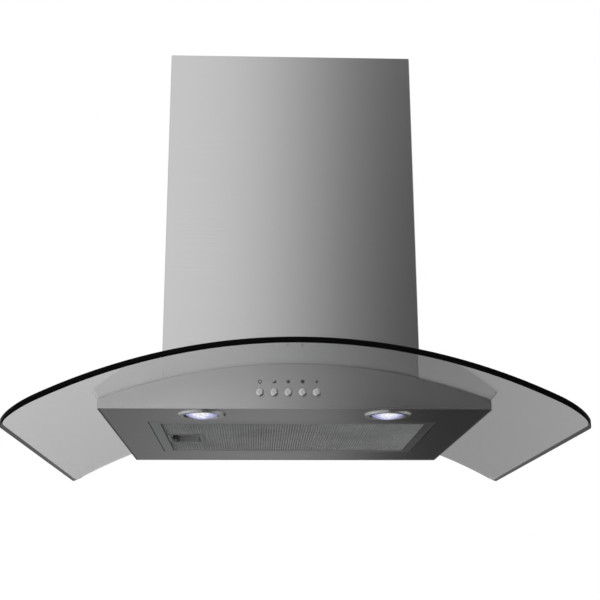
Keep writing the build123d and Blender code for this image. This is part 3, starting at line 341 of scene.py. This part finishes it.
materials = {
    "glass_canopy": glass_material(),
    "chimney": brushed("stainless_cover", (3, 3, 2400), (0.64, 0.64, 0.645), "Z"),
    # The front panel is the cover's steel with a darker tint, which is painted shade.
    "panel": brushed("stainless_panel_painted_shade", (3, 3, 2400), (0.485, 0.485, 0.488), "Z",
                     0.26, 0.91, 0.6),
    "pan": brushed("stainless_underside", (3, 2400, 900), (0.56, 0.56, 0.563), "Y", 0.30),
    "galvanised": galvanised_sheet("galvanised_sheet", (0.60, 0.62, 0.63)),
    "filter_frame": plain_metal("filter_frame_aluminium", (0.50, 0.51, 0.52), 0.34,
                                (14, 900, 900)),
    "latch_cup": plain_metal("latch_cup_aluminium", (0.43, 0.435, 0.44), 0.42, (30, 900, 900)),
    "filter_core": mesh_material("filter_foil", (0.66, 0.665, 0.67), 0.42),
    "filter_mesh": mesh_material("filter_expanded_mesh", (0.78, 0.785, 0.79), 0.34),
    "knob": plastic("filter_knob_gloss", (0.03, 0.03, 0.03), 0.22),
    "latch": plain_metal("latch_plated", (0.72, 0.72, 0.72), 0.2, (30, 900, 900)),
    "spring": plain_metal("spring_wire", (0.52, 0.52, 0.52), 0.32),
    "lamp_ring": plain_metal("lamp_ring_satin", (0.58, 0.58, 0.59), 0.24),
    "lamp_body": plain_metal("lamp_body_cast", (0.52, 0.52, 0.52), 0.5, (700, 700, 700), 0.0001),
    "button": plain_metal("button_cap_satin", (0.80, 0.80, 0.80), 0.30, (900, 30, 900)),
    "black": plastic("black_moulded", (0.035, 0.035, 0.038), 0.5),
    "grey": plastic("grey_moulded", (0.36, 0.37, 0.38), 0.5),
    "white": plastic("white_moulded", (0.78, 0.78, 0.76), 0.42),
    "rubber": plastic("seal_rubber_matt", (0.045, 0.045, 0.047), 0.75, 900.0, 0.00008),
    "motor_paint": plastic("motor_enamel", (0.16, 0.17, 0.18), 0.32, 700.0, 0.00006),
    "iron": stack_material(),
    "screw": plain_metal("screw_zinc", (0.66, 0.66, 0.63), 0.3),
    "wire": plastic("wire_sleeve", (0.08, 0.08, 0.09), 0.6, 700.0, 0.00008),
    "board": board_material(),
    "lens_left": lens_material("left", -LAMP_X),
    "lens_right": lens_material("right", LAMP_X),
}

node_materials = {
    "glass_canopy": ["glass_canopy"],
    "chimney": ["lower_chimney", "upper_chimney"],
    "panel": ["front_wrap"],
    "pan": ["bottom_pan"],
    "galvanised": ["clamp_frame", "rear_wall", "top_cover", "ceiling_bracket",
                   "chimney_side_brackets", "fan_box_wrap", "fan_box_back", "fan_box_top",
                   "motor_mount"],
    "filter_frame": ["filter_frame"],
    "latch_cup": ["filter_latch_cup"],
    "filter_core": ["filter_core"],
    "filter_mesh": ["filter_lower_mesh", "filter_upper_mesh"],
    "knob": ["filter_latch_knob"],
    "latch": ["filter_hinge_pins", "filter_latch_bolt", "motor_shaft", "flap_pin"],
    "spring": ["filter_latch_spring", "lamp_clips", "button_springs"],
    "lamp_ring": ["lamp_bezel_left", "lamp_bezel_right"],
    "lamp_body": ["lamp_modules"],
    "button": [f"button_{name}" for name in BUTTONS],
    "black": ["switch_block", "outlet_collar", "flap_front", "flap_rear", "cable_gland"],
    "grey": ["scroll_left", "scroll_right"],
    "white": ["fan_wheel", "control_box", "control_box_lid", "capacitor"],
    "rubber": ["glass_seals"],
    "motor_paint": ["motor_can"],
    "iron": ["motor_stator", "motor_rotor"],
    "screw": ["glass_fasteners", "ceiling_bracket_screws", "chimney_screws", "chassis_screws",
              "wheel_nut"],
    "wire": ["wiring"],
    "board": ["switch_board", "control_board"],
    "lens_left": ["lamp_lens_left"],
    "lens_right": ["lamp_lens_right"],
}

for key, names in node_materials.items():
    for name in names:
        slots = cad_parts[name].data.materials
        slots.clear()
        slots.append(materials[key])


# ---- Mesh helpers ----
def piece(name, verts, faces, mat, body, smooth=False):
    """New mesh from points in millimetres."""
    mesh = bpy.data.meshes.new(name)
    mesh.from_pydata([tuple(c * MM for c in v) for v in verts], [], faces)
    mesh.validate()
    if smooth:
        mesh.shade_smooth()
    else:
        mesh.shade_flat()
    obj = bpy.data.objects.new(name, mesh)
    bpy.context.scene.collection.objects.link(obj)
    mesh.materials.append(mat)
    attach(obj, body)
    return obj


def thicken(obj, thickness):
    mod = obj.modifiers.new("thickness", "SOLIDIFY")
    mod.thickness = thickness * MM
    mod.offset = 0.0


# ---- Painted shade on the edge of the glass ----
def outline_points():
    """The glass's side edges, front corners and front edge from above, with outward normals."""
    side_steps, corner_steps, front_steps = 30, 24, 96
    side_rear, side_front = -10.0, GLASS_FRONT + GLASS_CORNER
    corner_x = -GLASS_HALF + GLASS_CORNER
    left = [(-GLASS_HALF, side_rear + (side_front - side_rear) * i / side_steps, -1.0, 0.0)
            for i in range(side_steps)]
    for i in range(corner_steps + 1):
        a = math.pi + math.pi / 2 * i / corner_steps
        nx, ny = math.cos(a), math.sin(a)
        left.append((corner_x + GLASS_CORNER * nx, side_front + GLASS_CORNER * ny, nx, ny))
    front = [(corner_x - 2 * corner_x * i / front_steps, GLASS_FRONT, 0.0, -1.0)
             for i in range(1, front_steps)]
    right = [(-x, y, -nx, ny) for x, y, nx, ny in reversed(left)]
    return left + front + right


def arch_height(radius, x):
    return ARCH_Z + math.sqrt(radius * radius - x * x)


def make_glass_edge_shade():
    """A near-black skin round the edge and its two arrises: painted shade for the dark look of the
    glass edge.
    """
    proud, arris, lip, skin = 0.10, 0.7, 0.06, 0.05
    middle = (GLASS_LOW + GLASS_TOP) / 2
    # how far inward, on which radius of the arch, and how far above it
    profile = ((arris, GLASS_LOW, -lip), (0.0, GLASS_LOW, arris), (0.0, middle, 0.0),
               (0.0, GLASS_TOP, -arris), (arris, GLASS_TOP, lip))
    verts, faces = [], []
    outline = outline_points()
    for x, y, nx, ny in outline:
        for inward, radius, above in profile:
            px, py = x + nx * (proud - inward), y + ny * (proud - inward)
            verts.append((px, py, arch_height(radius, px) + above))
    across = len(profile)
    for i in range(len(outline) - 1):
        for j in range(across - 1):
            a = i * across + j
            faces.append((a, a + across, a + across + 1, a + 1))
    edge = piece("glass_edge_painted_shade", verts, faces, glass_edge_shade_material(), "hood",
                 smooth=True)
    thicken(edge, skin)


# ---- Expanded metal of the grease filter ----
def snap_out(x, y, left, right, front, rear, corner):
    """Moves a point that is inside a rounded rectangle out to its rim, and says if it moved."""
    cx, cy = (left + right) / 2, (front + rear) / 2
    hx, hy = (right - left) / 2, (rear - front) / 2
    px, py = x - cx, y - cy
    qx, qy = abs(px) - hx + corner, abs(py) - hy + corner
    outside = math.hypot(max(qx, 0), max(qy, 0)) + min(max(qx, qy), 0) - corner
    if outside >= 0:
        return x, y, False
    if qx > 0 and qy > 0:
        f = corner / math.hypot(qx, qy)
        nx, ny = (hx - corner) + qx * f, (hy - corner) + qy * f
    elif qx > qy:
        nx, ny = hx, abs(py)
    else:
        nx, ny = abs(px), hy
    return cx + math.copysign(nx, px), cy + math.copysign(ny, py), True


def make_expanded_mesh(name, node, z, way, pitch_x, pitch_y):
    """Staggered diamonds with tilted strands, cut clear of the latch; way +1 has relief upward."""
    strand, relief, thickness, slack = 0.36, 0.25, 0.45, 0.01
    left, right, front, rear = NET_WINDOW
    channel_front, channel_rear = BOLT_CHANNEL[2:4]
    corners = ((1, 0), (0, 1), (-1, 0), (0, -1))
    verts, faces, index = [], [], {}

    def point(x, y, height):
        x, y, by_cup = snap_out(x, y, *LATCH_CUP)
        x, y, by_channel = snap_out(x, y, *BOLT_CHANNEL)
        key = (round(x, 3), round(y, 3), round(height, 3))
        if key not in index:
            index[key] = len(verts)
            verts.append((x, y, z + way * height))
        return index[key], by_cup or by_channel

    columns = int((right - left) / pitch_x)
    rows = int((rear - front) / pitch_y)
    for r in range(2 * rows - 1):
        for c in range(columns - (r % 2)):
            cx = left + pitch_x * (c + 0.5 + 0.5 * (r % 2))
            cy = front + pitch_y * (r + 1) / 2
            outer = [point(cx + pitch_x / 2 * a, cy + pitch_y / 2 * b, relief if a else -relief)
                     for a, b in corners]
            inner = [point(cx + pitch_x / 2 * (1 - strand) * a,
                           cy + pitch_y / 2 * (1 - strand) * b, 0.0) for a, b in corners]
            if all(moved for _, moved in outer + inner):
                continue
            for k in range(4):
                n = (k + 1) % 4
                quad = (outer[k][0], outer[n][0], inner[n][0], inner[k][0])
                ends = [verts[i][1] for i in quad]
                crosses = (min(ends) < channel_front + slack
                           and max(ends) > channel_rear - slack)
                if len(set(quad)) == 4 and not crosses:
                    faces.append(quad if way > 0 else quad[::-1])
    obj = piece(name, verts, faces, materials["filter_mesh"], "filter")
    thicken(obj, thickness)
    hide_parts(node)


# ---- Springs as pieces of their own ----
def make_spring(name, node, left, right, body):
    """The coil of a node that lies between left and right, as a piece of its own."""
    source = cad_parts[node].data
    inside = [v.index for v in source.vertices if left < v.co.x / MM < right]
    new_index = {old: new for new, old in enumerate(inside)}
    verts = [tuple(c / MM for c in source.vertices[i].co) for i in inside]
    faces = [tuple(new_index[i] for i in f.vertices) for f in source.polygons
             if f.vertices[0] in new_index]
    coil = piece(name, verts, faces, materials["spring"], body, smooth=True)
    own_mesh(coil)
    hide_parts(node)


def make_springs():
    reach = 5.0  # of a button's coil, to each side
    latch_left, latch_right, latch_keep = -170.0, -140.0, 0.534
    for name, x in BUTTONS.items():
        make_spring(f"spring_{name}", "button_springs", x - reach, x + reach, "hood")
    make_spring("spring_latch", "filter_latch_spring", latch_left, latch_right, "filter")


# ---- Cut lenses of the lamps ----
def make_lens(side):
    """Pressed lens with cut facets, seated in its ring by a flange as wide as the solid's."""
    node = f"lamp_lens_{side}"
    low, high = [[c / MM for c in corner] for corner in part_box(node)]
    cx, cy = (low[0] + high[0]) / 2, (low[1] + high[1]) / 2
    flange, flange_thickness, top = (high[0] - low[0]) / 2, 1.2, high[2]
    radius, dome, rim = 17.6, 4.6, low[2] + 3.0
    sphere = (radius**2 + dome**2) / (2 * dome)
    sectors = 20
    # radius, height, and whether the row is turned by half a sector
    profile = [(flange, top, 0), (flange, top - flange_thickness, 0),
               (radius, top - flange_thickness, 0), (radius, rim, 0)]
    for i, share in enumerate((0.90, 0.74, 0.56, 0.36, 0.16)):
        r = radius * share
        profile.append((r, rim - math.sqrt(sphere**2 - r**2) + sphere - dome, (i + 1) % 2))
    verts, faces = [], []
    for r, z, turned in profile:
        for j in range(sectors):
            a = 2 * math.pi * (j + turned / 2) / sectors
            verts.append((cx + r * math.cos(a), cy + r * math.sin(a), z))
    for i in range(len(profile) - 1):
        lean = profile[i][2] - profile[i + 1][2]
        for j in range(sectors):
            a, b = i * sectors + j, i * sectors + (j + 1) % sectors
            c, d = a + sectors, b + sectors
            if lean == 0:
                faces.append((a, b, d, c))
            elif lean < 0:
                faces += [(a, b, c), (b, d, c)]
            else:
                faces += [(a, d, c), (a, b, d)]
    faces.append(tuple(range(sectors))[::-1])
    last, tip = (len(profile) - 1) * sectors, len(verts)
    verts.append((cx, cy, rim - dome))
    faces += [(last + j, last + (j + 1) % sectors, tip) for j in range(sectors)]
    lens = piece(f"lamp_cut_lens_{side}", verts, faces, materials[f"lens_{side}"], "hood")
    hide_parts(node)


# ---- Symbols above the push buttons: points in X and Z, and faces ----
def ring(radius, width, steps=32):
    points = []
    for i in range(steps + 1):
        a = 2 * math.pi * i / steps
        points += [(r * math.cos(a), r * math.sin(a)) for r in (radius, radius - width)]
    return points, [(b, b + 1, b + 3, b + 2) for b in range(0, 2 * steps, 2)]


def disc(radius, steps=28):
    angles = [2 * math.pi * i / steps for i in range(steps)]
    return [(radius * math.cos(a), radius * math.sin(a)) for a in angles], [tuple(range(steps))]


def diamond(size):
    return [(size, 0), (0, size), (-size, 0), (0, -size)], [(0, 1, 2, 3)]


def wedge(size):
    return [(-size, -size * 0.7), (size, -size * 0.7), (size, size * 0.9)], [(0, 1, 2)]


def make_symbols():
    ink = plastic("symbol_ink", (0.05, 0.05, 0.055), 0.5)
    height, proud, thickness = -150.2, 0.04, 0.06
    marks = {"light": ring(2.2, 0.8), "stop": wedge(2.3), "low": diamond(2.3),
             "medium": disc(2.1), "high": disc(1.4)}
    for name, x in BUTTONS.items():
        points, faces = marks[name]
        verts = [(x + px, FRONT_FACE - proud, height + pz) for px, pz in points]
        mark = piece(f"symbol_{name}", verts, faces, ink, "hood")
        thicken(mark, thickness)


make_glass_edge_shade()
make_expanded_mesh("filter_mesh_under", "filter_lower_mesh", -177.55, -1, 6.2, 3.8)
make_expanded_mesh("filter_mesh_over", "filter_upper_mesh", -172.85, 1, 8.2, 4.8)
make_springs()
make_lens("left")
make_lens("right")
make_symbols()


# ---- Camera, in metres and radians ----
def make_camera():
    data = bpy.data.cameras.new("photo_camera")
    data.lens, data.sensor_width = 65.35, 36.0
    data.clip_start, data.clip_end = 0.01, 50.0
    camera = bpy.data.objects.new("photo_camera", data)
    bpy.context.scene.collection.objects.link(camera)
    place = Vector((-0.0416, -1.5606, -0.39245))
    yaw, pitch, roll = 0.04007, 0.28118, -0.004415
    ahead = Vector((math.sin(yaw) * math.cos(pitch), math.cos(yaw) * math.cos(pitch),
                    math.sin(pitch)))
    right = Vector((math.cos(yaw), -math.sin(yaw), 0.0))
    up = right.cross(ahead)
    side = right * math.cos(roll) + up * math.sin(roll)
    top = up * math.cos(roll) - right * math.sin(roll)
    camera.matrix_world = Matrix((
        (side.x, top.x, -ahead.x, place.x),
        (side.y, top.y, -ahead.y, place.y),
        (side.z, top.z, -ahead.z, place.z),
        (0, 0, 0, 1)))
    bpy.context.scene.camera = camera


# ---- World, floor and lamps, in metres ----
# Brightness round the room, by degrees to the right of straight ahead or straight back.
FRONT_ROOM = ((-90, 0.80), (-30, 0.90), (-10, 0.93), (-4.6, 0.93), (-1.6, 0.86), (0.2, 0.74),
              (1.8, 0.58), (3.35, 0.42), (4.9, 0.27), (6.5, 0.15), (8.5, 0.08), (14, 0.05),
              (30, 0.08), (60, 0.26), (90, 0.50))
FRONT_DIMMED = ((-6, 0.0), (-2, 0.12), (1, 0.34), (5, 0.62), (12, 0.75))  # near the horizon
BACK_ROOM = ((-90, 0.80), (-60, 0.68), (-32, 0.50), (-20, 0.22), (-12, 0.12), (-8, 0.15),
             (-3, 0.28), (0, 0.34), (2.5, 0.34), (4.4, 0.28), (6.5, 0.12), (8.5, 0.02),
             (14, 0.005), (22, 0.01), (34, 0.22), (60, 0.46), (90, 0.60))
# The backdrop through glass, from the far left at 0 to the far right at 1.
BACKDROP = ((0.0, 0.65), (0.38, 0.64), (0.4425, 0.60), (0.50, 0.45), (0.565, 0.235),
            (0.60, 0.27), (0.62, 0.30), (0.64, 0.33), (0.75, 0.40), (1.0, 0.60))
OVERHEAD, UNDERFOOT = (0.85, 0.85, 0.85), (0.20, 0.20, 0.20)
FILL_LEFT, FILL_RIGHT = 0.78, 0.52


def make_world():
    """White for the camera, a pale backdrop through glass, and a softbox on the left mirrored."""
    world = bpy.data.worlds.new("studio")
    bpy.context.scene.world = world
    world.use_nodes = True
    s = Nodes(world.node_tree)
    out = s.add("OutputWorld")
    split = s.add("SeparateXYZ")
    s.link(s.add("TexCoord").outputs["Generated"], split.inputs[0])
    x, y, z = split.outputs
    squares = s.math("ADD", s.math("MULTIPLY", x, x), s.math("MULTIPLY", y, y))
    flat = s.math("SQRT", s.math("ADD", squares, 1e-5))
    side = s.spread(s.math("DIVIDE", x, flat), -1.0, 1.0, 0.0, 1.0)

    def around(room):
        return s.ramp(side, [(0.5 + math.sin(math.radians(a)) / 2, v) for a, v in room])

    near_horizon = s.spread(z, -0.12, 0.15, 1.0, 0.0)
    dimmed = s.math("MULTIPLY", around(FRONT_DIMMED), near_horizon)
    front = s.mix(dimmed, around(FRONT_ROOM), (0.0, 0.0, 0.0))
    level = s.mix(s.spread(y, -0.25, 0.25, 0.0, 1.0), front, around(BACK_ROOM))
    level = s.mix(s.spread(z, 0.55, 0.95, 0.0, 1.0), level, OVERHEAD)
    level = s.mix(s.spread(z, -1.0, -0.8, 1.0, 0.0), level, UNDERFOOT)

    rays = s.add("LightPath").outputs
    mirrored = s.math("MINIMUM", rays["Glossy Depth"], 1.0)
    straight = s.math("MULTIPLY", rays["Is Transmission Ray"],
                      s.math("SUBTRACT", 1.0, mirrored))
    seen = s.math("MAXIMUM", rays["Is Camera Ray"], straight)
    glossy = s.math("MULTIPLY", mirrored, s.math("SUBTRACT", 1.0, rays["Is Diffuse Ray"]))
    soft = s.background(strength=s.spread(side, 0.0, 1.0, FILL_LEFT, FILL_RIGHT))
    pale = s.math("MAXIMUM", rays["Is Camera Ray"], s.ramp(side, BACKDROP))
    lit = s.mix_shaders(glossy, soft, s.background(colour=level))
    s.link(s.mix_shaders(seen, lit, s.background(strength=pale)), out.inputs["Surface"])


def make_floor():
    """Pale floor, clear from below and where glass mirrors it; it fades to white outwards."""
    radius, drop, fade_from, fade_to = 4.5, -1.8, 1.2, 4.0
    mesh = bpy.data.meshes.new("floor")
    form = bmesh.new()
    bmesh.ops.create_circle(form, cap_ends=True, segments=96, radius=radius)
    form.to_mesh(mesh)
    form.free()
    floor = bpy.data.objects.new("floor", mesh)
    floor.location = (0.0, -0.2, drop)
    bpy.context.scene.collection.objects.link(floor)
    s = Shader("pale_floor", Roughness=0.8, Specular_IOR_Level=0.1)
    speck = s.noise(s.coords, 40.0, 4.0)
    s.colour(s.ramp(speck, [(0.3, (0.86, 0.86, 0.86)), (0.7, (0.90, 0.90, 0.90))]))
    rays = s.add("LightPath").outputs
    seen = s.math("MAXIMUM", rays["Is Camera Ray"], rays["Is Transmission Ray"])
    away = s.spread(s.distance(s.coords, (0, 0, 0)), fade_from, fade_to, 0.0, 1.0)
    faded = s.mix_shaders(s.math("MULTIPLY", seen, away), s.bsdf.outputs[0],
                          s.add("Emission").outputs[0])
    mirrored = s.math("MINIMUM", rays["Glossy Depth"], 1.0)
    by_glass = s.math("MULTIPLY", mirrored, rays["Is Transmission Ray"])
    clear = s.math("MAXIMUM", s.add("NewGeometry").outputs["Backfacing"], by_glass)
    s.link(s.mix_shaders(clear, faded, s.add("BsdfTransparent").outputs[0]),
           s.out.inputs["Surface"])
    mesh.materials.append(s.mat)
    floor.visible_glossy = False


def make_lamp(name, place, size, power):
    """Round lamp that looks at the hood and doesn't show itself."""
    data = bpy.data.lights.new(name, "AREA")
    data.shape = "DISK"
    data.size = size
    data.energy = power
    lamp = bpy.data.objects.new(name, data)
    bpy.context.scene.collection.objects.link(lamp)
    target = Vector((0, -0.25, 0))
    lamp.location = place
    lamp.rotation_mode = "QUATERNION"
    lamp.rotation_quaternion = (target - Vector(place)).to_track_quat("-Z", "Y")
    lamp.visible_glossy = False
    lamp.visible_transmission = False
    lamp.visible_camera = False


make_camera()
make_world()
make_floor()
make_lamp("key", (-1.6, -1.7, 1.3), 1.6, 26.0)
make_lamp("fill", (1.3, -1.5, -0.2), 1.4, 7.0)
bpy.context.scene.view_settings.view_transform = "Standard"
